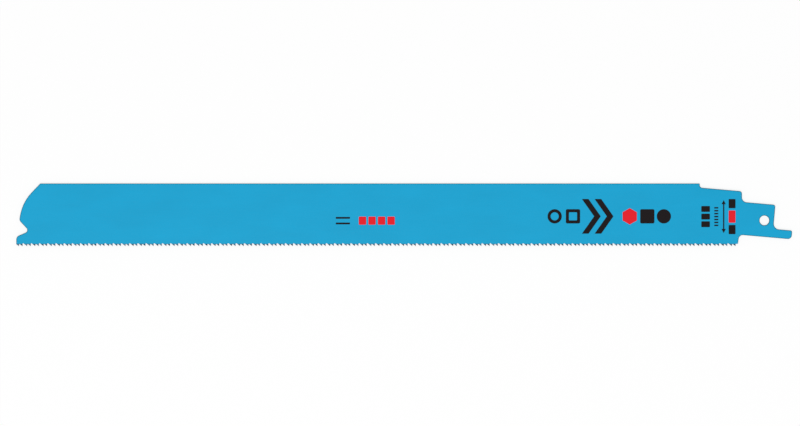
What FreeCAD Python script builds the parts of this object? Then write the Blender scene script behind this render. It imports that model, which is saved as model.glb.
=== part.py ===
"""Reciprocating saw blade, 12 inches long, for metal, with a variable pitch tooth edge.

Lengths are in millimetres and angles in degrees.
The blade lies flat and its mid-plane is z = 0. The origin is the centre of the pin hole.
+X runs from the toe to the tang, +Y from the tooth tips to the back, +Z is the upper side.
"""

import FreeCAD, Part

import math
import os

from FreeCAD import Vector

# Blade body
overall_length = 304.8      # nose of the toe to the end of the prong, along X
body_width = 24.6           # tooth tips to the back edge
body_offset = 2.2           # middle of that width above the centre of the pin hole
thickness = 1.1             # sheet thickness
back_corner_radius = 0.3    # both corners of the back edge

# Toe, with distances behind the nose along X
chamfer_start = 9.4         # where the chamfer leaves the back edge
chamfer_end = 2.45          # where the chamfer meets the flank
chamfer_fall = 7.25         # that place below the back edge
chamfer_end_radius = 17.3   # long round between the chamfer and the flank
flank_end = 1.15            # where the flank meets the plunge notch
flank_end_height = 10.1     # that place above the tooth tips
notch_depth = 5.05          # bottom of the plunge notch
notch_height = 5.9          # that place above the tooth tips
notch_lip_height = 3.7      # lower lip of the notch on the nose, above the tooth tips
notch_lip_radius = 1.7      # both lips of the notch
notch_root_radius = 1.1     # bottom of the notch

# Tang, which is canted down towards its free end and centred on the pin hole
cant_angle = 5.0            # fall of the tang below the back edge's line
tang_width = 12.95          # across the tang, square to its own centre line
tang_end = 3.8              # pin hole's centre to the square end
tang_end_radius = 0.85      # upper corner of the square end
prong_end = 11.25           # pin hole's centre to the end of the prong
prong_width = 3.45          # prong, beside the square end
prong_top_radius = 0.7      # upper corner of the prong's end
prong_bottom_radius = 1.5   # lower corner of the prong's end
prong_root_radius = 2.2     # inside corner between the prong and the square end
pin_hole_diameter = 3.8

# Shoulder and neck between the tang and the body
shoulder_distance = 8.8     # shoulder behind the pin hole's centre, along X
shoulder_radius = 2.0       # inside corner between the tang and the shoulder
neck_corner_radius = 1.1    # corner of the neck, and inside corner of the back step
step_distance = 25.4        # step in the back edge, behind the pin hole's centre
step_height = 1.6           # drop of that step, from which the neck runs with the tang

# Heel at the end of the toothed edge
heel_distance = 10.4        # lower corner of the heel behind the pin hole's centre
heel_land_height = 0.9      # blunt land of the heel above the tooth tips
heel_lean = 8.0             # lean of the riser between the land and the tang
heel_root_radius = 1.7      # inside corner between the riser and the tang

# Teeth, which point to the tang and whose rake faces are square to the tip line
short_pitch = 1.41          # 18 teeth per inch
long_pitch = 1.81           # 14 teeth per inch
relief_angle = 38.0         # back of each tooth against the tip line
gullet_radius = 0.31        # round between a rake face and the gullet's floor
gullet_floor = 0.1          # flat floor from that round to the next tooth's back
first_tip = 1.0             # first tooth's tip behind the nose
last_land = 0.6             # least length of the heel's land
side_set = 0.2              # how far a set tooth leans out at its tip
set_order = (0.0, 1.0, -1.0)  # side that each tooth in turn leans to: none, upper, lower
bend_margin = 0.07          # bend line of the set below the shallowest gullet's bottom

# Modelling allowances
overrun = 2.0               # how far the shapes that cut the sheet run past it
shortest_edge = 1e-6        # a straight shorter than this is left out of the outline

tip_y = body_offset - body_width / 2.0
back_y = body_offset + body_width / 2.0
half_sheet = thickness / 2.0
half_tang = tang_width / 2.0
cant = math.radians(cant_angle)
relief_slope = math.tan(math.radians(relief_angle))


def in_tang(along, across):
    """A point of the tang's own canted axes, from the pin hole's centre."""
    return (along * math.cos(cant) + across * math.sin(cant),
            across * math.cos(cant) - along * math.sin(cant))


def tang_line(x, across):
    """Y at X on the line that runs with the tang at this distance from its centre line."""
    return across / math.cos(cant) - x * math.tan(cant)


# The rounded upper corner of the prong is the end of the blade along X
prong_corner = in_tang(prong_end - prong_top_radius, prong_width - half_tang - prong_top_radius)
nose_x = prong_corner[0] + prong_top_radius - overall_length


def gullet_depth(pitch):
    """Depth of the gullet between two tips that are one pitch apart."""
    return (pitch - gullet_radius - gullet_floor) * relief_slope


def tip_places():
    """X of every tooth tip from the toe, with short and long gaps by turns."""
    places = [nose_x + first_tip]
    gaps = [short_pitch, long_pitch]
    while True:
        place = places[-1] + gaps[(len(places) - 1) % 2]
        if place > -heel_distance - last_land:
            return places
        places.append(place)


def rounded_outline(corners):
    """A closed wire through corners (point, radius), each rounded as far as its sides allow."""
    count = len(corners)
    points = [Vector(x, y, 0.0) for (x, y), radius in corners]
    sides = [points[(i + 1) % count] - points[i] for i in range(count)]
    half_turns = [sides[i - 1].getAngle(sides[i]) / 2.0 for i in range(count)]
    cuts = [corners[i][1] * math.tan(half_turns[i]) for i in range(count)]
    # Where two rounds want more than the whole side between them, both take their share of it
    shares = []
    for i in range(count):
        wanted = cuts[i] + cuts[(i + 1) % count]
        shares.append(min(1.0, sides[i].Length / wanted) if wanted > 0.0 else 1.0)
    cuts = [cuts[i] * min(shares[i - 1], shares[i]) for i in range(count)]

    edges = []
    for i in range(count):
        arriving = Vector(sides[i - 1]).normalize()
        leaving = Vector(sides[i]).normalize()
        round_start = points[i] - arriving * cuts[i]
        round_end = points[i] + leaving * cuts[i]
        if cuts[i] > 0.0:
            radius = cuts[i] / math.tan(half_turns[i])
            inward = (leaving - arriving).normalize()
            middle = points[i] + inward * (radius / math.cos(half_turns[i]) - radius)
            edges.append(Part.Arc(round_start, middle, round_end).toShape())
        following = points[(i + 1) % count] - leaving * cuts[(i + 1) % count]
        if (following - round_end).Length > shortest_edge:
            edges.append(Part.makeLine(round_end, following))
    return Part.Wire(edges)


def toe_corners():
    """From the back edge round the toe to the first tooth's tip."""
    first_relief = tip_y + first_tip * relief_slope
    return [
        ((nose_x + chamfer_start, back_y), back_corner_radius),
        ((nose_x + chamfer_end, back_y - chamfer_fall), chamfer_end_radius),
        ((nose_x + flank_end, tip_y + flank_end_height), notch_lip_radius),
        ((nose_x + notch_depth, tip_y + notch_height), notch_root_radius),
        ((nose_x, tip_y + notch_lip_height), notch_lip_radius),
        ((nose_x, first_relief), 0.0),
    ]


def tooth_corners(tips):
    """The tips and the gullets between them, from the toe to the land of the heel."""
    corners = []
    for tip, following in zip(tips, tips[1:]):
        floor_y = tip_y + gullet_depth(following - tip)
        corners.append(((tip, tip_y), 0.0))
        corners.append(((tip, floor_y), gullet_radius))
        corners.append(((tip + gullet_radius + gullet_floor, floor_y), 0.0))
    corners.append(((tips[-1], tip_y), 0.0))
    corners.append(((tips[-1], tip_y + heel_land_height), gullet_radius))
    return corners


def shank_corners():
    """From the heel round the tang and the neck back to the back edge."""
    land_y = tip_y + heel_land_height
    lean = math.tan(math.radians(heel_lean))
    fall = math.tan(cant)
    # The leaning riser runs from the heel's lower corner up to the line of the tang's lower edge
    rise = (tang_line(-heel_distance, -half_tang) - land_y) / (1.0 + lean * fall)
    # The neck's top falls with the tang from the step to the shoulder
    neck_y = back_y - step_height
    shoulder_y = neck_y - (step_distance - shoulder_distance) * fall
    return [
        ((-heel_distance, land_y), 0.0),
        ((-heel_distance + rise * lean, land_y + rise), heel_root_radius),
        (in_tang(prong_end, -half_tang), prong_bottom_radius),
        (in_tang(prong_end, prong_width - half_tang), prong_top_radius),
        (in_tang(tang_end, prong_width - half_tang), prong_root_radius),
        (in_tang(tang_end, half_tang), tang_end_radius),
        ((-shoulder_distance, tang_line(-shoulder_distance, half_tang)), shoulder_radius),
        ((-shoulder_distance, shoulder_y), neck_corner_radius),
        ((-step_distance, neck_y), neck_corner_radius),
        ((-step_distance, back_y), back_corner_radius),
    ]


def set_stock(tips):
    """The sheet with its lower edge bent out tooth by tooth, in the set's order."""
    bend_y = tip_y + gullet_depth(min(short_pitch, long_pitch)) - bend_margin
    far_x = prong_end + overrun
    near_x = nose_x - overrun
    sheet = Part.makeBox(far_x - near_x, back_y + overrun - bend_y, thickness,
                         Vector(near_x, bend_y, -half_sheet))
    # Each tooth has a lane that ends on the floors of the gullets beside it
    walls = [near_x] + [tip + gullet_radius for tip in tips[:-1]] + [far_x]
    low_y = tip_y - overrun
    lean_per_mm = side_set / (bend_y - tip_y)
    lanes = []
    for index in range(len(tips)):
        lean = set_order[index % len(set_order)] * lean_per_mm * (bend_y - low_y)
        corners = [
            Vector(walls[index], bend_y, -half_sheet),
            Vector(walls[index], bend_y, half_sheet),
            Vector(walls[index], low_y, half_sheet + lean),
            Vector(walls[index], low_y, lean - half_sheet),
        ]
        section = Part.Face(Part.makePolygon(corners + corners[:1]))
        lanes.append(section.extrude(Vector(walls[index + 1] - walls[index], 0.0, 0.0)))
    return sheet.multiFuse(lanes)


def make_blade():
    """One milled sheet: the outline cut through the set stock, with the pin hole."""
    tips = tip_places()
    outline = rounded_outline(toe_corners() + tooth_corners(tips) + shank_corners())
    cutter_height = thickness + 2.0 * (side_set + overrun)
    cutter = Part.Face(outline).extrude(Vector(0.0, 0.0, cutter_height))
    cutter.translate(Vector(0.0, 0.0, -cutter_height / 2.0))
    pin_hole = Part.makeCylinder(pin_hole_diameter / 2.0, cutter_height,
                                 Vector(0.0, 0.0, -cutter_height / 2.0))
    return set_stock(tips).common(cutter.cut(pin_hole)).removeSplitter()


os.makedirs("parts", exist_ok=True)
blade = make_blade()
blade.exportStep("parts/blade.step")
print("teeth:", len(tip_places()))
print("volume in cubic millimetres:", round(blade.Volume, 1))
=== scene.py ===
"""Looks of a 12 inch reciprocating saw blade for metal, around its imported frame.

All lengths are in metres where no unit is named. The blade lies flat, with its mid-plane at z = 0.
X runs from the toe to the tang, Y from the tooth tips to the back edge, and the origin is the
centre of the pin hole.
"""

import math

import bmesh
import bpy
from bpy.props import FloatProperty, FloatVectorProperty, IntProperty, PointerProperty
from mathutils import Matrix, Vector
from mathutils.geometry import delaunay_2d_cdt


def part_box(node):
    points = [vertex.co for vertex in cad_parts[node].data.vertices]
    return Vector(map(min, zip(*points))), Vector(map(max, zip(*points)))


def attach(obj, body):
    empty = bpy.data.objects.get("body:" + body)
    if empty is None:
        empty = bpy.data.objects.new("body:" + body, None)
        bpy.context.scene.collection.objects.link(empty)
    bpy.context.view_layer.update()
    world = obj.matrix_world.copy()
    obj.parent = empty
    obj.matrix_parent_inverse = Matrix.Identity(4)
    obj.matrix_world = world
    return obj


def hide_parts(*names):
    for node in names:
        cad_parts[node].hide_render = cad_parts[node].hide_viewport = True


bl_info = {
    "name": "Reciprocating saw blade",
    "version": (1, 0, 0),
    "blender": (4, 5, 0),
    "location": "View3D > Sidebar > Blade",
    "description": "Builds the finish, the tooth edge and the print of a saw blade for metal",
    "category": "Object",
}

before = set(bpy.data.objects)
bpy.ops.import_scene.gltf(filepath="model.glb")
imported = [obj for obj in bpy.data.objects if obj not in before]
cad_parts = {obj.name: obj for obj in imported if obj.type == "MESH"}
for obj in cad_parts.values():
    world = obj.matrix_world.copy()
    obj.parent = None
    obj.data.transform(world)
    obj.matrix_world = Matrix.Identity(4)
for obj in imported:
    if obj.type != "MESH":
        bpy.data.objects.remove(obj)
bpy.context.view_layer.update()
low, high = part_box("blade")

MM = 0.001
WELD = 0.001 * MM                   # points nearer than this are one
SAME_POINT = 1e-7                   # the same in a triangulation, in millimetres
ROUND_STEP = math.radians(5.0)      # largest turn between two points of a round
GULLET_STEP = math.radians(11.25)   # the same in a gullet, as in the frame's teeth
SMOOTH_BELOW = math.radians(12.0)   # edges that turn less than this are shaded smooth
SIDE_FACING = 0.9                   # faces whose normal is this upright are sides of the sheet
RELIEF = 0.02 * MM                  # depth of the fine relief in the finishes
FAR = 100.0                         # the camera sees no further
INSIDE_LOOPS = 1                    # the triangulation keeps what lies inside the loops
MIX_COLOURS = (6, 7)                # the colour inputs of a Mix node
MIX_RESULT = 2                      # its colour output

# Blocks of the print: width, height and corner radius in millimetres
BLOCKS = {
    "bar": (5.6, 0.7, 0.2),
    "square": (2.9, 3.2, 0.3),
    "brick": (3.4, 2.3, 0.3),
    "tick": (1.6, 0.55, 0.1),
    "column end": (2.7, 3.6, 0.3),
    "column middle": (2.7, 4.8, 0.3),
}

# The print's signs by ink: group, shape, how many, and in millimetres the first one's place from
# the group's own place and the step to the next one
NO_STEP = (0.0, 0.0)
SIGNS = {
    "black": (
        ("sections", "tube", 1, (-20.9, 0.0), NO_STEP),
        ("sections", "box", 1, (-13.7, 0.0), NO_STEP),
        ("sections", "chevron", 2, (-5.4, 0.0), (5.0, 0.0)),
        ("sections", "square bar", 1, (15.5, 0.0), NO_STEP),
        ("sections", "round bar", 1, (22.0, 0.0), NO_STEP),
        ("mark", "bar", 2, (2.8, -1.1), (0.0, 2.2)),
        ("columns", "brick", 3, (0.0, -3.0), (0.0, 3.0)),
        ("columns", "tick", 7, (4.2, -3.45), (0.0, 1.15)),
        ("columns", "span", 1, (7.1, 0.0), NO_STEP),
        ("columns", "column end", 2, (10.4, -5.1), (0.0, 10.2)),
    ),
    "red": (
        ("sections", "hexagon", 1, (8.6, 0.0), NO_STEP),
        ("mark", "square", 4, (10.5, 0.0), (3.75, 0.0)),
        ("columns", "column middle", 1, (10.4, 0.0), NO_STEP),
    ),
}


def length(name, description, millimetres):
    """A length that a user can change, given in millimetres."""
    return FloatProperty(name=name, description=description, default=millimetres * MM,
                         unit="LENGTH", precision=5)


def angle(name, description, degrees):
    """An angle that a user can change, given in degrees."""
    return FloatProperty(name=name, description=description, default=math.radians(degrees),
                         unit="ROTATION")


def colour(name, description, red, green, blue):
    """A linear colour that a user can change."""
    return FloatVectorProperty(name=name, description=description, default=(red, green, blue),
                               subtype="COLOR", size=3, min=0.0, max=1.0)


class SheetSizes(bpy.types.PropertyGroup):
    """The sheet's outline: back edge, toe, tang, shoulder and heel."""
    thickness: length("Thickness", "Thickness of the sheet", 1.1)
    edge_break: length("Edge break", "Chamfer that tumbling leaves on the cut edges", 0.26)
    back_corner: length("Back corners", "Radius at both ends of the back edge", 0.3)
    chamfer_start: length("Chamfer start", "Start of the toe's chamfer behind the nose", 9.4)
    chamfer_end: length("Chamfer end", "End of the toe's chamfer behind the nose", 2.45)
    chamfer_fall: length("Chamfer fall", "End of the toe's chamfer below the back edge", 7.25)
    chamfer_round: length("Chamfer round", "Radius between chamfer and flank", 17.3)
    flank_end: length("Flank end", "Notch's upper lip behind the nose", 1.15)
    flank_height: length("Flank height", "Notch's upper lip above the tooth tips", 10.1)
    notch_depth: length("Notch depth", "Bottom of the plunge notch behind the nose", 5.05)
    notch_height: length("Notch height", "Bottom of the plunge notch above the tooth tips", 5.9)
    notch_root: length("Notch root", "Radius in the bottom of the notch", 1.1)
    lip_height: length("Lip height", "Notch's lower lip above the tooth tips", 3.7)
    lip_round: length("Lip round", "Radius of both lips of the notch", 1.7)
    cant: angle("Cant", "Fall of the tang towards its free end", 5.0)
    tang_width: length("Tang width", "Width across the tang", 12.95)
    tang_end: length("Tang end", "Square end beyond the pin hole", 3.8)
    tang_corner: length("Tang corner", "Radius of the square end's upper corner", 0.85)
    prong_end: length("Prong end", "End of the prong beyond the pin hole", 11.25)
    prong_width: length("Prong width", "Width of the prong", 3.45)
    prong_top: length("Prong top", "Radius of the prong's upper corner", 0.7)
    prong_bottom: length("Prong bottom", "Radius of the prong's lower corner", 1.5)
    prong_root: length("Prong root", "Radius between the prong and the square end", 2.2)
    pin_hole: length("Pin hole", "Diameter of the pin hole", 3.8)
    shoulder: length("Shoulder", "Shoulder behind the pin hole", 8.8)
    shoulder_round: length("Shoulder round", "Radius between the tang and the shoulder", 2.0)
    neck_round: length("Neck round", "Radius at both ends of the neck", 1.1)
    step: length("Step", "Step in the back edge behind the pin hole", 25.4)
    step_height: length("Step height", "Drop of the step in the back edge", 1.6)
    heel: length("Heel", "Heel's lower corner behind the pin hole", 10.4)
    heel_land: length("Heel land", "Heel's blunt land above the tooth tips", 0.9)
    heel_lean: angle("Heel lean", "Lean of the riser behind the land", 8.0)
    heel_root: length("Heel root", "Radius between the riser and the tang", 1.7)


class ToothSizes(bpy.types.PropertyGroup):
    """The tooth edge: two pitches by turns, and the set."""
    count: IntProperty(name="Teeth", description="Number of teeth", default=176, min=3)
    short_pitch: length("Short pitch", "Pitch of 18 teeth per inch", 1.41)
    long_pitch: length("Long pitch", "Pitch of 14 teeth per inch", 1.81)
    relief: angle("Relief", "Angle of a tooth's back to the tip line", 38.0)
    gullet: length("Gullet", "Radius between a rake face and the gullet's floor", 0.31)
    floor: length("Floor", "Flat floor of a gullet", 0.1)
    first_tip: length("First tip", "First tooth tip behind the nose", 1.0)
    root: length("Root", "Height of the toothed strip above the tips", 1.6)
    bend_margin: length("Bend margin", "Bend line of the set below the shallowest gullet", 0.07)


class FinishColours(bpy.types.PropertyGroup):
    """Colours of the lacquer, the steel and the print, and where the lacquer ends."""
    lacquer: colour("Lacquer", "Blue lacquer of the blade's sides", 0.001, 0.352, 0.618)
    # Darker than the sides' lacquer partly for a thinner coat over dark steel and partly as painted
    # shade: it keeps the cut edges and their chamfers dark as an outline even where they catch the
    # light
    edge: colour("Cut edges", "Thin lacquer on the sheet's cut edges", 0.001, 0.165, 0.255)
    tooth: colour("Tooth steel", "Bare steel of the teeth", 0.035, 0.08, 0.12)
    milled: FloatProperty(name="Milled faces", description="Brightness of the teeth's milled faces "
                          "against that steel", default=1.5, min=0.0)
    black: colour("Black print", "Black printing ink", 0.011, 0.008, 0.0085)
    red: colour("Red print", "Red printing ink", 0.78, 0.016, 0.026)
    side_line: length("Side line", "Lower border of the sides' lacquer above the tips", 0.94)
    side_fade: length("Side fade", "Height over which that border fades out", 0.1)
    side_wander: length("Side wander", "How far that border wanders", 0.15)
    edge_line: length("Edge line", "Lower border of the cut edges' lacquer above the tips", 1.12)
    edge_fade: length("Edge fade", "Height over which that border fades out", 0.3)


class PrintSizes(bpy.types.PropertyGroup):
    """The print on the upper side, from the pin hole's centre."""
    ink: length("Ink", "Height of the printed ink above the lacquer", 0.02)
    sections_x: length("Sections", "Middle of the row of section signs", -61.5)
    sections_y: length("Sections height", "Middle of that row above the pin hole", 1.6)
    mark_x: length("Mark", "Left end of the small mark by the middle of the blade", -168.4)
    mark_y: length("Mark height", "Middle of the small mark above the pin hole", -0.1)
    columns_x: length("Columns", "First column of signs by the tang", -23.1)
    columns_y: length("Columns height", "Middle of those columns above the pin hole", 1.5)
    sign: length("Section sign", "Size of a section sign", 5.6)
    wall: length("Section wall", "Wall of the tube and the box", 1.2)
    chevron: length("Chevron", "Height of a chevron", 13.6)
    stroke: length("Chevron stroke", "Width of a chevron's stroke", 2.6)
    chevron_reach: length("Chevron reach", "Reach of a chevron's point", 4.8)
    span: length("Span", "Length of the line with two arrowheads", 13.0)
    span_line: length("Span line", "Width of that line", 0.5)
    arrow: length("Arrowhead", "Width of an arrowhead, and about its length", 1.65)


class StageSizes(bpy.types.PropertyGroup):
    """Framing of the camera above the blade, and the studio light."""
    middle_x: length("Frame middle", "Middle of the frame from the pin hole", -143.16)
    middle_y: length("Frame middle height", "Middle of the frame above the pin hole", 2.91)
    width: length("Frame width", "Width of the frame at the blade", 314.28)
    distance: length("Camera distance", "Height of the camera above the blade", 2000.0)
    lamp_place: FloatVectorProperty(name="Lamp place", description="Key lamp from the blade's middle",
                                    default=(-0.15, -0.7, 1.7), subtype="TRANSLATION",
                                    unit="LENGTH")
    lamp_size: length("Lamp size", "Side of the square key lamp", 1000.0)
    lamp_power: FloatProperty(name="Lamp power", description="Power of the key lamp in watts",
                              default=16.0)
    ambient: FloatProperty(name="Ambient", description="Strength of the light from all round",
                           default=0.6)
    floor_reach: length("Floor", "Half the width of the floor", 12000.0)
    floor: colour("Floor colour", "Matt colour of the floor", 0.97, 0.97, 0.97)
    floor_glow: FloatProperty(name="Floor glow", description="Share of plain white where seen",
                              default=0.8, subtype="FACTOR", min=0.0, max=1.0)


def at_tang(sizes, along, across):
    """A point of the tang's canted axes."""
    return (along * math.cos(sizes.cant) + across * math.sin(sizes.cant),
            across * math.cos(sizes.cant) - along * math.sin(sizes.cant))


def sheet_corners(sizes, teeth):
    """Corners (x, y, radius) from the heel round the tang, the back and the toe to the nose."""
    half_tang = sizes.tang_width / 2.0
    prong_foot = sizes.prong_width - half_tang
    land_y = low.y + sizes.heel_land
    lean = math.tan(sizes.heel_lean)
    fall = math.tan(sizes.cant)
    tang_bottom = -half_tang / math.cos(sizes.cant) + sizes.heel * fall
    rise = (tang_bottom - land_y) / (1.0 + lean * fall)
    neck_y = high.y - sizes.step_height
    shoulder_top = neck_y - (sizes.step - sizes.shoulder) * fall
    shoulder_foot = half_tang / math.cos(sizes.cant) + sizes.shoulder * fall
    return [
        (-sizes.heel, land_y, 0.0),
        (-sizes.heel + rise * lean, land_y + rise, sizes.heel_root),
        (*at_tang(sizes, sizes.prong_end, -half_tang), sizes.prong_bottom),
        (*at_tang(sizes, sizes.prong_end, prong_foot), sizes.prong_top),
        (*at_tang(sizes, sizes.tang_end, prong_foot), sizes.prong_root),
        (*at_tang(sizes, sizes.tang_end, half_tang), sizes.tang_corner),
        (-sizes.shoulder, shoulder_foot, sizes.shoulder_round),
        (-sizes.shoulder, shoulder_top, sizes.neck_round),
        (-sizes.step, neck_y, sizes.neck_round),
        (-sizes.step, high.y, sizes.back_corner),
        (low.x + sizes.chamfer_start, high.y, sizes.back_corner),
        (low.x + sizes.chamfer_end, high.y - sizes.chamfer_fall, sizes.chamfer_round),
        (low.x + sizes.flank_end, low.y + sizes.flank_height, sizes.lip_round),
        (low.x + sizes.notch_depth, low.y + sizes.notch_height, sizes.notch_root),
        (low.x, low.y + sizes.lip_height, sizes.lip_round),
        (low.x, low.y + teeth.first_tip * math.tan(teeth.relief), 0.0),
    ]


def rounded(corners, closed=False):
    """Points along a run of corners (x, y, radius), with each round cut into short chords."""
    points = []
    count = len(corners)
    for i, (x, y, radius) in enumerate(corners):
        here = Vector((x, y))
        if radius == 0.0 or (not closed and i in (0, count - 1)):
            points.append(here)
            continue
        arriving = (here - Vector(corners[i - 1][:2])).normalized()
        leaving = (Vector(corners[(i + 1) % count][:2]) - here).normalized()
        turn = arriving.angle(leaving)
        inward = (leaving - arriving).normalized()
        centre = here + inward * (radius / math.cos(turn / 2.0))
        chords = max(2, math.ceil(turn / ROUND_STEP))
        start = here - arriving * radius * math.tan(turn / 2.0) - centre
        side = math.copysign(1.0, arriving.x * leaving.y - arriving.y * leaving.x)
        for k in range(chords + 1):
            step = side * turn * k / chords
            points.append(centre + Vector((start.x * math.cos(step) - start.y * math.sin(step),
                                           start.x * math.sin(step) + start.y * math.cos(step))))
    return points


def inset(points, distances):
    """The points of a closed loop, each moved square to the loop, inwards by its distance."""
    moved = []
    for i, (point, distance) in enumerate(zip(points, distances)):
        before = (point - points[i - 1]).normalized()
        after = (points[(i + 1) % len(points)] - point).normalized()
        normal = Vector((-before.y - after.y, before.x + after.x)) / (1.0 + before.dot(after))
        moved.append(point + normal * distance if distance > 0.0 else point.copy())
    return moved


def fill(points, edges, hole=None):
    """Triangles inside closed edges, as numbers of the points, with any other edges kept.

    The points from number hole on go round a hole without hollows, which stays open.
    """
    flat = [Vector((p.x / MM, p.y / MM)) for p in points]
    faces, origins = delaunay_2d_cdt(flat, edges, [], INSIDE_LOOPS, SAME_POINT)[2:4]
    triangles = [[origins[corner][0] for corner in face] for face in faces]
    return [t for t in triangles if hole is None or min(t) < hole]


def loop_edges(start, count):
    """Edges of a closed loop of points that follow each other."""
    return [(start + i, start + (i + 1) % count) for i in range(count)]


def at_height(points, z):
    """Flat points at this height."""
    return [(p.x, p.y, z) for p in points]


def shell(rings, triangles, walls):
    """Vertices and faces from rings of points, which follow each other from the top down.

    The triangles fill the top ring and, turned over, the bottom one. Each wall is an edge of a
    ring, and its faces run down from ring to ring.
    """
    count = len(rings[0])
    bottom = count * (len(rings) - 1)
    vertices = [point for ring in rings for point in ring]
    faces = triangles + [[corner + bottom for corner in reversed(t)] for t in triangles]
    for a, b in walls:
        for upper in range(0, bottom, count):
            lower = upper + count
            faces.append([a + upper, a + lower, b + lower, b + upper])
    return vertices, faces


def new_object(name, vertices, faces, closed=False):
    """A mesh object at the origin, with doubled points merged, and a closed shell turned out."""
    mesh = bpy.data.meshes.new(name)
    shape = bmesh.new()
    made = [shape.verts.new(v) for v in vertices]
    for face in faces:
        shape.faces.new([made[i] for i in face])
    bmesh.ops.remove_doubles(shape, verts=shape.verts, dist=WELD)
    bmesh.ops.dissolve_degenerate(shape, edges=shape.edges, dist=WELD)
    if closed:
        bmesh.ops.recalc_face_normals(shape, faces=shape.faces)
    shape.to_mesh(mesh)
    shape.free()
    item = bpy.data.objects.new(name, mesh)
    bpy.context.scene.collection.objects.link(item)
    return item


def gullet_depth(teeth, pitch):
    """Depth of the gullet between two tips one pitch apart."""
    return (pitch - teeth.gullet - teeth.floor) * math.tan(teeth.relief)


def bend_height(teeth):
    """The set's bend line above the tips."""
    return gullet_depth(teeth, min(teeth.short_pitch, teeth.long_pitch)) - teeth.bend_margin


def levels(sizes, teeth):
    """Heights above the tips at which neighbouring parts of the tooth edge share points."""
    starts = [gullet_depth(teeth, p) - teeth.gullet for p in (teeth.short_pitch, teeth.long_pitch)]
    return sorted([0.0, sizes.heel_land - teeth.gullet, bend_height(teeth), teeth.root] + starts)


def gullet_round(teeth, floor):
    """Points of the round from a rake face at x = 0 to a floor, with one on the bend line."""
    start = floor - teeth.gullet
    turns = [i * GULLET_STEP for i in range(round(math.pi / 2.0 / GULLET_STEP) + 1)]
    rise = (bend_height(teeth) - start) / teeth.gullet
    if 0.0 < rise < 1.0:
        turns.append(math.asin(rise))
    return [Vector((teeth.gullet * (1.0 - math.cos(turn)), start + teeth.gullet * math.sin(turn)))
            for turn in sorted(turns)]


def sheet_loop(sizes, teeth):
    """Points round the sheet against the clock, from the heel's corner to the heel's land.

    Also gives the number of the nose's last point and that of the land's first.
    """
    strip_y = low.y + teeth.root
    # Rounding errors don't take the prong's end out of the frame's box
    loop = [Vector((min(p.x, high.x), p.y)) for p in rounded(sheet_corners(sizes, teeth))]
    # A point on the riser and one on the nose at the strip's height end the edge break
    share = (strip_y - loop[0].y) / (loop[1].y - loop[0].y)
    loop.insert(1, loop[0].lerp(loop[1], share))
    loop.insert(len(loop) - 1, Vector((low.x, strip_y)))
    nose = len(loop) - 1

    tips = tooth_places(teeth)
    heights = levels(sizes, teeth)
    land_start = sizes.heel_land - teeth.gullet
    loop += [Vector((tips[0], low.y + height)) for height in heights]
    loop += [Vector((tip, strip_y)) for tip in tips[1:]]
    loop += [Vector((tips[-1], low.y + height)) for height in reversed(heights[:-1])
             if height > land_start]
    land = len(loop)
    loop += [Vector((tips[-1], low.y)) + p for p in gullet_round(teeth, sizes.heel_land)]
    return loop, nose, land


def rake_face(vertices, faces, x, heights, half):
    """Adds a flat rake face at x, with points at each of these heights."""
    first = len(vertices)
    for height in heights:
        vertices += [(x, height, half), (x, height, -half)]
    for i in range(len(heights) - 1):
        corner = first + 2 * i
        faces.append([corner, corner + 1, corner + 3, corner + 2])


def sheet_shell(sizes, teeth):
    """Vertices and faces of the sheet, which is open where the gaps between teeth join it."""
    loop, nose, land = sheet_loop(sizes, teeth)
    count = len(loop)
    strip_y = low.y + teeth.root - WELD
    breaks = [sizes.edge_break if i <= nose and p.y > strip_y else 0.0 for i, p in enumerate(loop)]
    hole = circle_loop(sizes.pin_hole / 2.0)
    faced = inset(loop, breaks) + circle_loop(sizes.pin_hole / 2.0 + sizes.edge_break)
    edged = loop + hole
    breaks += [sizes.edge_break] * len(hole)

    # The side of the last tooth has an edge along the bend line, as in the gaps
    heel_start = tooth_places(teeth)[-1] - WELD
    bend_y = low.y + bend_height(teeth)
    on_bend = tuple(i for i in range(nose + 1, count)
                    if abs(loop[i].y - bend_y) < WELD and loop[i].x > heel_start)
    hole_edges = loop_edges(count, len(hole))
    triangles = fill(faced, loop_edges(0, count) + hole_edges + [on_bend], hole=count)

    walls = [(i, i + 1) for i in range(nose + 1)]
    walls += [(i, (i + 1) % count) for i in range(land, count)]
    walls += [(b, a) for a, b in hole_edges]
    half = sizes.thickness / 2.0
    rings = (at_height(faced, half),
             [(p.x, p.y, half - depth) for p, depth in zip(edged, breaks)],
             [(p.x, p.y, depth - half) for p, depth in zip(edged, breaks)],
             at_height(faced, -half))
    return shell(rings, triangles, walls)


class BLADE_OT_sheet(bpy.types.Operator):
    """The sheet without the row of teeth: outline with broken edges, and the pin hole"""
    bl_idname = "blade.sheet"
    bl_label = "Sheet"

    def execute(self, context):
        sizes = context.scene.blade_sheet
        teeth = context.scene.blade_teeth
        vertices, faces = sheet_shell(sizes, teeth)

        # The last tooth's rake face has no gap after it, so it is part of the sheet
        last_tip = tooth_places(teeth)[-1]
        land_start = sizes.heel_land - teeth.gullet
        heights = [low.y + height for height in levels(sizes, teeth) if height < land_start + WELD]
        rake_face(vertices, faces, last_tip, heights, sizes.thickness / 2.0)
        sheet = new_object("sheet", vertices, faces)
        tooth = sheet.data.attributes.new("tooth", "INT", "POINT")
        for vertex in sheet.data.vertices:
            tooth.data[vertex.index].value = teeth.count - 1 if vertex.co.x > last_tip - WELD else 0
        return {"FINISHED"}


def tooth_places(teeth):
    """X of each tooth tip, with short and long gaps by turns."""
    pair = teeth.short_pitch + teeth.long_pitch
    first = low.x + teeth.first_tip
    return [first + i // 2 * pair + i % 2 * teeth.short_pitch for i in range(teeth.count)]


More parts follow.
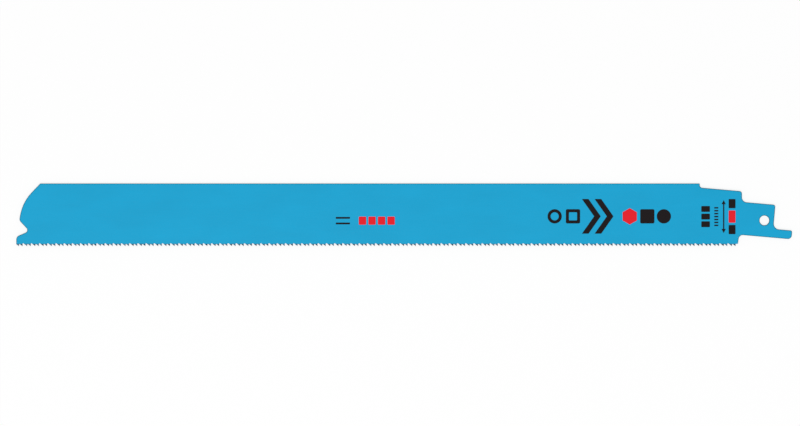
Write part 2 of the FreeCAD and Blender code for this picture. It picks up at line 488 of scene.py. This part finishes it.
def gap_loop(teeth, pitch, heights):
    """Points round the gap between two tips at y = 0, and how many of them lie on its walls."""
    floor = gullet_depth(teeth, pitch)
    bend = bend_height(teeth)
    loop = gullet_round(teeth, floor)
    loop.append(Vector((teeth.gullet + teeth.floor, floor)))
    loop.append(Vector((pitch - bend / math.tan(teeth.relief), bend)))
    walled = len(loop)
    start = floor - teeth.gullet + WELD
    loop += [Vector((pitch, height)) for height in heights]
    loop += [Vector((0.0, height)) for height in reversed(heights) if height > start]
    return loop, walled


def gap_shape(name, sizes, teeth, pitch):
    """The gap between two teeth: rake face, gullet and the next tooth's back, up to the sheet."""
    heights = levels(sizes, teeth)
    loop, walled = gap_loop(teeth, pitch, heights)
    bend = bend_height(teeth)
    on_bend = [i for i, p in enumerate(loop) if abs(p.y - bend) < WELD]
    rake_side = tuple(i for i in on_bend if loop[i].x < teeth.gullet)
    back_side = tuple(i for i in on_bend if loop[i].x > teeth.gullet)
    kept = [pair for pair in (rake_side, back_side) if len(pair) == 2]
    triangles = fill(loop, loop_edges(0, len(loop)) + kept)

    half = sizes.thickness / 2.0
    walls = [(i, i + 1) for i in range(walled)]
    vertices, faces = shell((at_height(loop, half), at_height(loop, -half)), triangles, walls)
    start = gullet_depth(teeth, pitch) - teeth.gullet
    rake_face(vertices, faces, 0.0, [h for h in heights if h < start - WELD] + [start], half)
    gap = new_object(name, vertices, faces)
    side = gap.data.attributes.new("side", "INT", "POINT")
    for vertex in gap.data.vertices:
        side.data[vertex.index].value = 1 if vertex.co.x > teeth.gullet else 0
    return gap


def add_node(tree, kind, inputs=None, **options):
    """Adds a node, sets its options, and links or fills its inputs."""
    made = tree.nodes.new(kind)
    for option, value in options.items():
        setattr(made, option, value)
    for socket, value in (inputs or {}).items():
        if isinstance(value, bpy.types.NodeSocket):
            tree.links.new(value, made.inputs[socket])
        else:
            made.inputs[socket].default_value = value
    return made


def maths(tree, operation, *values):
    """The result of a math node."""
    inputs = dict(enumerate(values))
    return add_node(tree, "ShaderNodeMath", inputs, operation=operation).outputs[0]


def geometry_tree(name, inputs, result):
    """A geometry tree with these named inputs and one result, and the inputs' sockets."""
    tree = bpy.data.node_groups.new(name, "GeometryNodeTree")
    for label, kind in inputs:
        tree.interface.new_socket(name=label, in_out="INPUT", socket_type="NodeSocket" + kind)
    tree.interface.new_socket(name=result, in_out="OUTPUT", socket_type="NodeSocketGeometry")
    return tree, tree.nodes.new("NodeGroupInput").outputs


def stored(tree, name):
    """The whole number that each point carries under this name."""
    return add_node(tree, "GeometryNodeInputNamedAttribute", {"Name": name},
                    data_type="INT").outputs[0]


def store(tree, geometry, name, value):
    """Geometry whose points carry a whole number under this name."""
    return add_node(tree, "GeometryNodeStoreNamedAttribute",
                    {"Geometry": geometry, "Name": name, "Value": value},
                    data_type="INT", domain="POINT").outputs[0]


def row_of_gaps(tree, given):
    """Gaps of two pitches by turns along the tip line, whose points carry their tooth's number."""
    index = tree.nodes.new("GeometryNodeInputIndex").outputs[0]
    odd = maths(tree, "MODULO", index, 2.0)
    pairs = maths(tree, "FLOOR", maths(tree, "DIVIDE", index, 2.0))
    pair = maths(tree, "ADD", given["Short pitch"], given["Long pitch"])
    along = maths(tree, "MULTIPLY_ADD", pairs, pair, given["First tip"])
    x = maths(tree, "MULTIPLY_ADD", odd, given["Short pitch"], along)
    place = add_node(tree, "ShaderNodeCombineXYZ", {"X": x, "Y": given["Tip line"]})
    points = add_node(tree, "GeometryNodePoints", {"Count": given["Gaps"],
                                                   "Position": place.outputs[0]})
    numbered = store(tree, points.outputs[0], "gap", index)
    row = tree.nodes.new("GeometryNodeJoinGeometry")
    even = maths(tree, "SUBTRACT", 1.0, odd)
    for name, chosen in (("Long gap", odd), ("Short gap", even)):
        gap = add_node(tree, "GeometryNodeObjectInfo", {"Object": given[name]})
        placed = add_node(tree, "GeometryNodeInstanceOnPoints",
                          {"Points": numbered, "Selection": chosen,
                           "Instance": gap.outputs["Geometry"]})
        tree.links.new(placed.outputs[0], row.inputs[0])
    realized = add_node(tree, "GeometryNodeRealizeInstances", {0: row.outputs[0]})
    owner = maths(tree, "ADD", stored(tree, "gap"), stored(tree, "side"))
    return store(tree, realized.outputs[0], "tooth", owner)


def set_teeth(tree, given, blade):
    """Teeth that lean by turns to no side, up and down, more the further below the bend line."""
    following = maths(tree, "ADD", stored(tree, "tooth"), 1.0)
    lean = maths(tree, "SUBTRACT", maths(tree, "MODULO", following, 3.0), 1.0)
    position = tree.nodes.new("GeometryNodeInputPosition").outputs[0]
    y = add_node(tree, "ShaderNodeSeparateXYZ", {0: position}).outputs["Y"]
    height = maths(tree, "SUBTRACT", y, given["Tip line"])
    below = maths(tree, "MAXIMUM", maths(tree, "SUBTRACT", given["Bend height"], height), 0.0)
    share = maths(tree, "DIVIDE", below, given["Bend height"])
    shift = maths(tree, "MULTIPLY", maths(tree, "MULTIPLY", share, lean), given["Side set"])
    offset = add_node(tree, "ShaderNodeCombineXYZ", {"Z": shift})
    return add_node(tree, "GeometryNodeSetPosition",
                    {"Geometry": blade, "Offset": offset.outputs[0]}).outputs[0]


def two_finishes(tree, given, blade):
    """Lacquer on the sides of the sheet, and the finish of cut edges on all other faces."""
    sides = add_node(tree, "GeometryNodeSetMaterial",
                     {"Geometry": blade, "Material": given["Side finish"]})
    normal = tree.nodes.new("GeometryNodeInputNormal").outputs[0]
    facing = add_node(tree, "ShaderNodeSeparateXYZ", {0: normal}).outputs["Z"]
    cut = maths(tree, "LESS_THAN", maths(tree, "ABSOLUTE", facing), SIDE_FACING)
    return add_node(tree, "GeometryNodeSetMaterial",
                    {"Geometry": sides.outputs[0], "Selection": cut,
                     "Material": given["Edge finish"]}).outputs[0]


def tooth_row_tree():
    """Geometry nodes that weld a row of gaps to the sheet, set the teeth and give the finishes."""
    tree, given = geometry_tree("Tooth row", (
        ("Sheet", "Geometry"), ("Short gap", "Object"), ("Long gap", "Object"), ("Gaps", "Int"),
        ("First tip", "Float"), ("Tip line", "Float"), ("Short pitch", "Float"),
        ("Long pitch", "Float"), ("Side set", "Float"), ("Bend height", "Float"),
        ("Weld distance", "Float"), ("Side finish", "Material"), ("Edge finish", "Material")),
        "Blade")
    joined = add_node(tree, "GeometryNodeJoinGeometry", {0: given["Sheet"]})
    tree.links.new(row_of_gaps(tree, given), joined.inputs[0])
    welded = add_node(tree, "GeometryNodeMergeByDistance",
                      {"Geometry": joined.outputs[0], "Distance": given["Weld distance"]})
    leaning = set_teeth(tree, given, welded.outputs[0])
    add_node(tree, "NodeGroupOutput", {0: two_finishes(tree, given, leaning)})
    return tree


def add_modifier(target, tree, values):
    """Adds a geometry nodes modifier and sets its inputs by their sockets' identifiers."""
    modifier = target.modifiers.new(tree.name, "NODES")
    modifier.node_group = tree
    for item in tree.interface.items_tree:
        if item.name in values:
            modifier[item.identifier] = values[item.name]


def make_plain(context, target):
    """Turns an object's modifiers into a plain mesh with no empty material slot."""
    finished = target.evaluated_get(context.evaluated_depsgraph_get())
    target.data = bpy.data.meshes.new_from_object(finished)
    target.modifiers.clear()
    materials = target.data.materials
    for slot in reversed(range(len(materials))):
        if materials[slot] is None:
            materials.pop(index=slot)


class BLADE_OT_teeth(bpy.types.Operator):
    """The row of set teeth, welded to the sheet to make the whole blade"""
    bl_idname = "blade.teeth"
    bl_label = "Teeth"

    def execute(self, context):
        sizes = context.scene.blade_sheet
        teeth = context.scene.blade_teeth
        short_gap = gap_shape("short gap", sizes, teeth, teeth.short_pitch)
        long_gap = gap_shape("long gap", sizes, teeth, teeth.long_pitch)
        blade = bpy.data.objects["sheet"]
        add_modifier(blade, tooth_row_tree(), {
            "Short gap": short_gap, "Long gap": long_gap, "Gaps": teeth.count - 1,
            "First tip": low.x + teeth.first_tip, "Tip line": low.y,
            "Short pitch": teeth.short_pitch, "Long pitch": teeth.long_pitch,
            "Side set": high.z - sizes.thickness / 2.0, "Bend height": bend_height(teeth),
            "Weld distance": WELD, "Side finish": lacquered_side(context.scene),
            "Edge finish": cut_edge(context.scene)})
        make_plain(context, blade)
        blade.name = "saw_blade"
        for name in ("tooth", "gap", "side"):
            blade.data.attributes.remove(blade.data.attributes[name])
        blade.data.shade_smooth()
        blade.data.set_sharp_from_angle(angle=SMOOTH_BELOW)
        bpy.data.objects.remove(short_gap)
        bpy.data.objects.remove(long_gap)
        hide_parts("blade")
        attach(blade, "root")
        return {"FINISHED"}


def new_finish(name, gloss):
    """A material with this specular level, and Object coordinates in millimetres."""
    material = bpy.data.materials.new(name)
    material.use_nodes = True
    tree = material.node_tree
    shader = tree.nodes["Principled BSDF"]
    shader.inputs["Specular IOR Level"].default_value = gloss
    coordinates = tree.nodes.new("ShaderNodeTexCoord").outputs["Object"]
    scaled = add_node(tree, "ShaderNodeMapping", {"Vector": coordinates, "Scale": (1.0 / MM,) * 3})
    return material, tree, shader, scaled.outputs[0]


def grain(tree, where, cycles, detail=3.0):
    """Noise with this many cycles for each millimetre along X, Y and Z, spread from 0 to 1."""
    placed = add_node(tree, "ShaderNodeMapping", {"Vector": where, "Scale": cycles})
    noise = add_node(tree, "ShaderNodeTexNoise", {"Vector": placed.outputs[0], "Scale": 1.0,
                                                  "Detail": detail, "Roughness": 0.55})
    return spread(tree, noise.outputs[0], (0.0, 1.0), between=(0.25, 0.75))


def spread(tree, value, results, between=(0.0, 1.0), smooth=False):
    """Turns a value between two limits into one between two results."""
    return add_node(tree, "ShaderNodeMapRange",
                    {"Value": value, "From Min": between[0], "From Max": between[1],
                     "To Min": results[0], "To Max": results[1]},
                    interpolation_type="SMOOTHSTEP" if smooth else "LINEAR").outputs[0]


def blend(tree, first, second, share):
    """A mix of two colours, each a socket or a linear colour, with this share of the second."""
    mixed = add_node(tree, "ShaderNodeMix", {0: share}, data_type="RGBA")
    for number, value in zip(MIX_COLOURS, (first, second)):
        if isinstance(value, bpy.types.NodeSocket):
            tree.links.new(value, mixed.inputs[number])
        else:
            mixed.inputs[number].default_value = (*value, 1.0)
    return mixed.outputs[MIX_RESULT]


def mottled(tree, rgb, pattern, by):
    """A colour that a pattern darkens and lightens by up to this share."""
    darker = [part * (1.0 - by) for part in rgb]
    lighter = [min(1.0, part * (1.0 + by)) for part in rgb]
    return blend(tree, darker, lighter, share=pattern)


def lacquered_above(tree, height, line, fade):
    """1 where the height in millimetres is over a line above the tips, fading to 0 below it."""
    start = (low.y + line) / MM
    return spread(tree, height, (0.0, 1.0), between=(start, start + fade / MM), smooth=True)


def roughen(tree, shader, relief, strength):
    """Adds fine relief to a finish."""
    bump = add_node(tree, "ShaderNodeBump", {"Height": relief, "Strength": strength,
                                             "Distance": RELIEF})
    tree.links.new(bump.outputs[0], shader.inputs["Normal"])


def lacquered_side(scene):
    """Blue satin lacquer over rolled steel, down to a bare tooth edge."""
    finishes = scene.blade_finishes
    material, tree, shader, where = new_finish("lacquered_side", gloss=0.15)
    rolled = grain(tree, where, cycles=(0.12, 7.0, 1.0))
    clouds = grain(tree, where, cycles=(0.05, 0.12, 0.1), detail=2.0)
    peel = grain(tree, where, cycles=(2.2, 2.2, 2.2), detail=2.0)
    wander = grain(tree, where, cycles=(1.1, 1.1, 1.1))

    y = add_node(tree, "ShaderNodeSeparateXYZ", {0: where}).outputs["Y"]
    ragged = maths(tree, "MULTIPLY_ADD", wander, finishes.side_wander / MM, y)
    painted = lacquered_above(tree, ragged, finishes.side_line, finishes.side_fade)

    uneven = blend(tree, rolled, clouds, share=0.65)
    blue = mottled(tree, finishes.lacquer, uneven, by=0.05)
    steel = mottled(tree, finishes.tooth, rolled, by=0.25)
    tree.links.new(blend(tree, steel, blue, share=painted), shader.inputs["Base Color"])
    # Steel that isn't all metal keeps the set teeth from mirroring the lamp
    tree.links.new(spread(tree, painted, (0.6, 0.0)), shader.inputs["Metallic"])
    tree.links.new(spread(tree, rolled, (0.3, 0.44)), shader.inputs["Roughness"])
    roughen(tree, shader, blend(tree, rolled, peel, share=0.55), strength=0.6)
    return material


def cut_edge(scene):
    """Cut edges: lacquer over the marks of cutting, darkened partly because it is thinner over dark
    steel and partly as painted shade, and bare milled teeth.
    """
    finishes = scene.blade_finishes
    material, tree, shader, where = new_finish("cut_edge", gloss=0.15)
    marks = grain(tree, where, cycles=(6.0, 6.0, 0.5))
    pits = grain(tree, where, cycles=(9.0, 9.0, 6.0))
    parts = add_node(tree, "ShaderNodeSeparateXYZ", {0: where}).outputs
    painted = lacquered_above(tree, parts["Y"], finishes.edge_line, finishes.edge_fade)

    # A punched edge is smooth at the top and broken off unevenly below: heights in millimetres
    smooth_above = 0.02
    torn_below = -0.12
    uneven = 0.2
    height = maths(tree, "MULTIPLY_ADD", marks, uneven, parts["Z"])
    torn = spread(tree, height, (1.0, 0.0), between=(torn_below, smooth_above), smooth=True)
    relief = blend(tree, marks, pits, share=torn)

    # The cut edges' colour is partly painted shade, which darkens the outline and the chamfers that
    # catch the light
    thin_lacquer_and_shade = mottled(tree, finishes.edge, relief, by=0.3)
    milled = mottled(tree, [part * finishes.milled for part in finishes.tooth], marks, by=0.35)
    tree.links.new(blend(tree, milled, thin_lacquer_and_shade, share=painted), shader.inputs["Base Color"])
    tree.links.new(spread(tree, painted, (1.0, 0.0)), shader.inputs["Metallic"])
    tree.links.new(spread(tree, relief, (0.32, 0.5)), shader.inputs["Roughness"])
    roughen(tree, shader, relief, strength=0.35)
    return material


def printing_ink(name, rgb):
    """Printing ink, slightly uneven over the lacquer."""
    material, tree, shader, where = new_finish(name, gloss=0.05)
    uneven = grain(tree, where, cycles=(5.0, 5.0, 5.0))
    tree.links.new(mottled(tree, rgb, uneven, by=0.12), shader.inputs["Base Color"])
    tree.links.new(spread(tree, uneven, (0.42, 0.6)), shader.inputs["Roughness"])
    roughen(tree, shader, uneven, strength=0.15)
    return material


def circle_loop(radius):
    """A circle about the origin."""
    count = round(2.0 * math.pi / ROUND_STEP)
    turns = [2.0 * math.pi * i / count for i in range(count)]
    return [Vector((radius * math.cos(turn), radius * math.sin(turn))) for turn in turns]


def block_loop(width, height, radius):
    """A rectangle with rounded corners."""
    x, y = width / 2.0, height / 2.0
    corners = [(-x, -y, radius), (x, -y, radius), (x, y, radius), (-x, y, radius)]
    return rounded(corners, closed=True)


def hexagon_loop(size):
    """A hexagon, this wide across its flats."""
    reach = size / math.sqrt(3.0)
    turns = [math.radians(30.0 + 60.0 * i) for i in range(6)]
    return [Vector((reach * math.cos(turn), reach * math.sin(turn))) for turn in turns]


def chevron_loop(height, stroke, reach):
    """A chevron that points to the tang."""
    half = height / 2.0
    return [Vector(p) for p in ((-reach, -half), (stroke - reach, -half), (stroke, 0.0),
                                (stroke - reach, half), (-reach, half), (0.0, 0.0))]


def span_loop(height, line, head):
    """An upright line with an arrowhead at each end."""
    half = height / 2.0
    right = [(0.0, -half), (head / 2.0, head - half), (line / 2.0, head - half),
             (line / 2.0, half - head), (head / 2.0, half - head), (0.0, half)]
    return [Vector(p) for p in right] + [Vector((-x, y)) for x, y in right[-2:0:-1]]


def sign_loops(sizes):
    """Outlines of each shape of the print, with a second one where the shape is hollow."""
    bore = sizes.sign - 2.0 * sizes.wall
    disc = circle_loop(sizes.sign / 2.0)
    square = block_loop(sizes.sign, sizes.sign, sizes.wall / 2.0)
    loops = {
        "round bar": [disc],
        "tube": [disc, circle_loop(bore / 2.0)],
        "square bar": [square],
        "box": [square, block_loop(bore, bore, sizes.wall / 4.0)],
        "hexagon": [hexagon_loop(sizes.sign)],
        "chevron": [chevron_loop(sizes.chevron, sizes.stroke, sizes.chevron_reach)],
        "span": [span_loop(sizes.span, sizes.span_line, sizes.arrow)],
    }
    for name, block in BLOCKS.items():
        loops[name] = [block_loop(*[size * MM for size in block])]
    return loops


def ink_slab(loops, face, ink):
    """A closed slab of ink within the first loop, and round the second if there is one."""
    points, edges = [], []
    for loop in loops:
        edges += loop_edges(len(points), len(loop))
        points += loop
    triangles = fill(points, edges, hole=len(loops[0]) if len(loops) > 1 else None)
    rings = (at_height(points, face + ink), at_height(points, face - ink))
    return new_object("sign", *shell(rings, triangles, edges), closed=True)


def printed_row_tree():
    """Geometry nodes that add a straight row of one sign to what is printed already."""
    tree, given = geometry_tree("Printed row", (
        ("Printed", "Geometry"), ("Sign", "Object"), ("Count", "Int"), ("Start", "Vector"),
        ("Step", "Vector"), ("Ink", "Material")), "Print")
    row = add_node(tree, "GeometryNodeMeshLine", {"Count": given["Count"], "Offset": given["Step"],
                                                  "Start Location": given["Start"]}, mode="OFFSET")
    sign = add_node(tree, "GeometryNodeObjectInfo", {"Object": given["Sign"]})
    placed = add_node(tree, "GeometryNodeInstanceOnPoints", {"Points": row.outputs[0],
                                                             "Instance": sign.outputs["Geometry"]})
    joined = add_node(tree, "GeometryNodeJoinGeometry", {0: given["Printed"]})
    tree.links.new(placed.outputs[0], joined.inputs[0])
    realized = add_node(tree, "GeometryNodeRealizeInstances", {0: joined.outputs[0]})
    inked = add_node(tree, "GeometryNodeSetMaterial", {0: realized.outputs[0],
                                                       "Material": given["Ink"]})
    add_node(tree, "NodeGroupOutput", {0: inked.outputs[0]})
    return tree


class BLADE_OT_print(bpy.types.Operator):
    """Plain signs on the upper side: sections of stock, chevrons, bars and blocks"""
    bl_idname = "blade.print"
    bl_label = "Print"

    def execute(self, context):
        sizes = context.scene.blade_print
        face = context.scene.blade_sheet.thickness / 2.0
        loops = sign_loops(sizes)
        tree = printed_row_tree()
        for ink, rows in SIGNS.items():
            name = "print_" + ink
            piece = new_object(name, [], [])
            finish = printing_ink(name, getattr(context.scene.blade_finishes, ink))
            slabs = []
            for group, shape, count, place, step in rows:
                slabs.append(ink_slab(loops[shape], face, sizes.ink))
                start = (getattr(sizes, group + "_x") + place[0] * MM,
                         getattr(sizes, group + "_y") + place[1] * MM, 0.0)
                add_modifier(piece, tree, {"Sign": slabs[-1], "Count": count, "Ink": finish,
                                           "Start": start, "Step": (step[0] * MM, step[1] * MM, 0.0)})
            make_plain(context, piece)
            for slab in slabs:
                bpy.data.objects.remove(slab)
            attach(piece, "root")
        return {"FINISHED"}


class BLADE_OT_stage(bpy.types.Operator):
    """A pale floor, soft studio light and a camera that looks straight down"""
    bl_idname = "blade.stage"
    bl_label = "Stage"

    def execute(self, context):
        sizes = context.scene.blade_stage
        self.make_floor(sizes)
        self.make_world(context, sizes)
        self.make_lamp(context, sizes)
        self.make_camera(context, sizes)
        return {"FINISHED"}

    def make_floor(self, sizes):
        """A wide floor that the camera sees as white, with the blade's soft shadow."""
        reach = sizes.floor_reach
        corners = [(-reach, -reach), (reach, -reach), (reach, reach), (-reach, reach)]
        floor = new_object("floor", [(x, y, low.z) for x, y in corners], [[0, 1, 2, 3]])
        material = bpy.data.materials.new("floor")
        material.use_nodes = True
        tree = material.node_tree
        shader = tree.nodes["Principled BSDF"]
        shader.inputs["Base Color"].default_value = (*sizes.floor, 1.0)
        shader.inputs["Roughness"].default_value = 1.0
        shader.inputs["Specular IOR Level"].default_value = 0.0
        glow = add_node(tree, "ShaderNodeEmission", {"Color": (1.0,) * 4, "Strength": 1.0})
        share = maths(tree, "MULTIPLY", self.seen(tree), sizes.floor_glow)
        mixed = add_node(tree, "ShaderNodeMixShader", {0: share, 1: shader.outputs[0],
                                                       2: glow.outputs[0]})
        tree.links.new(mixed.outputs[0], tree.nodes["Material Output"].inputs["Surface"])
        floor.data.materials.append(material)

    def seen(self, tree):
        """1 for rays from the camera, a gloss or glass, and 0 for light on matt faces."""
        rays = tree.nodes.new("ShaderNodeLightPath").outputs
        seen = maths(tree, "MAXIMUM", rays["Is Camera Ray"], rays["Is Glossy Ray"])
        return maths(tree, "MAXIMUM", seen, rays["Is Transmission Ray"])

    def make_world(self, context, sizes):
        """Even light from all round, white where it is seen."""
        world = bpy.data.worlds.new("studio")
        world.use_nodes = True
        context.scene.world = world
        tree = world.node_tree
        background = tree.nodes["Background"].inputs
        tree.links.new(spread(tree, self.seen(tree), (sizes.ambient, 1.0)), background["Strength"])
        background["Color"].default_value = (1.0,) * 4

    def make_lamp(self, context, sizes):
        """A soft square lamp over the teeth that points at the middle of the blade."""
        offset = Vector(sizes.lamp_place)
        light = bpy.data.lights.new("key lamp", "AREA")
        light.size = sizes.lamp_size
        light.energy = sizes.lamp_power
        lamp = bpy.data.objects.new("key lamp", light)
        lamp.location = (low + high) / 2.0 + offset
        lamp.rotation_euler = offset.to_track_quat("Z", "Y").to_euler()
        context.scene.collection.objects.link(lamp)

    def make_camera(self, context, sizes):
        """A long lens straight above the blade, with the photograph's framing."""
        lens = bpy.data.cameras.new("camera")
        lens.lens = lens.sensor_width * sizes.distance / sizes.width
        lens.clip_end = FAR
        camera = bpy.data.objects.new("camera", lens)
        face = context.scene.blade_sheet.thickness / 2.0
        camera.location = (sizes.middle_x, sizes.middle_y, face + sizes.distance)
        context.scene.collection.objects.link(camera)
        context.scene.camera = camera


class BLADE_PT_panel(bpy.types.Panel):
    """Sizes, colours and steps of the blade"""
    bl_idname = "BLADE_PT_panel"
    bl_label = "Saw blade"
    bl_space_type = "VIEW_3D"
    bl_region_type = "UI"
    bl_category = "Blade"

    def draw(self, context):
        for name in GROUPS:
            group = getattr(context.scene, name)
            box = self.layout.box()
            for label in group.__annotations__:
                box.prop(group, label)
        for operator in OPERATORS:
            self.layout.operator(operator.bl_idname)


# The scene's properties and the groups that they hold
GROUPS = {"blade_sheet": SheetSizes, "blade_teeth": ToothSizes, "blade_finishes": FinishColours,
          "blade_print": PrintSizes, "blade_stage": StageSizes}
OPERATORS = (BLADE_OT_sheet, BLADE_OT_teeth, BLADE_OT_print, BLADE_OT_stage)
CLASSES = (*GROUPS.values(), *OPERATORS, BLADE_PT_panel)


def register():
    """Registers the classes and hangs the property groups on the scene."""
    for item in CLASSES:
        bpy.utils.register_class(item)
    for name, group in GROUPS.items():
        setattr(bpy.types.Scene, name, PointerProperty(type=group))


def unregister():
    """Undoes register."""
    for name in GROUPS:
        delattr(bpy.types.Scene, name)
    for item in reversed(CLASSES):
        bpy.utils.unregister_class(item)


def main():
    """Builds the blade and the stage."""
    register()
    bpy.context.scene.view_settings.view_transform = "Standard"
    bpy.ops.blade.sheet()
    bpy.ops.blade.teeth()
    bpy.ops.blade.print()
    bpy.ops.blade.stage()


if __name__ == "__main__":
    main()
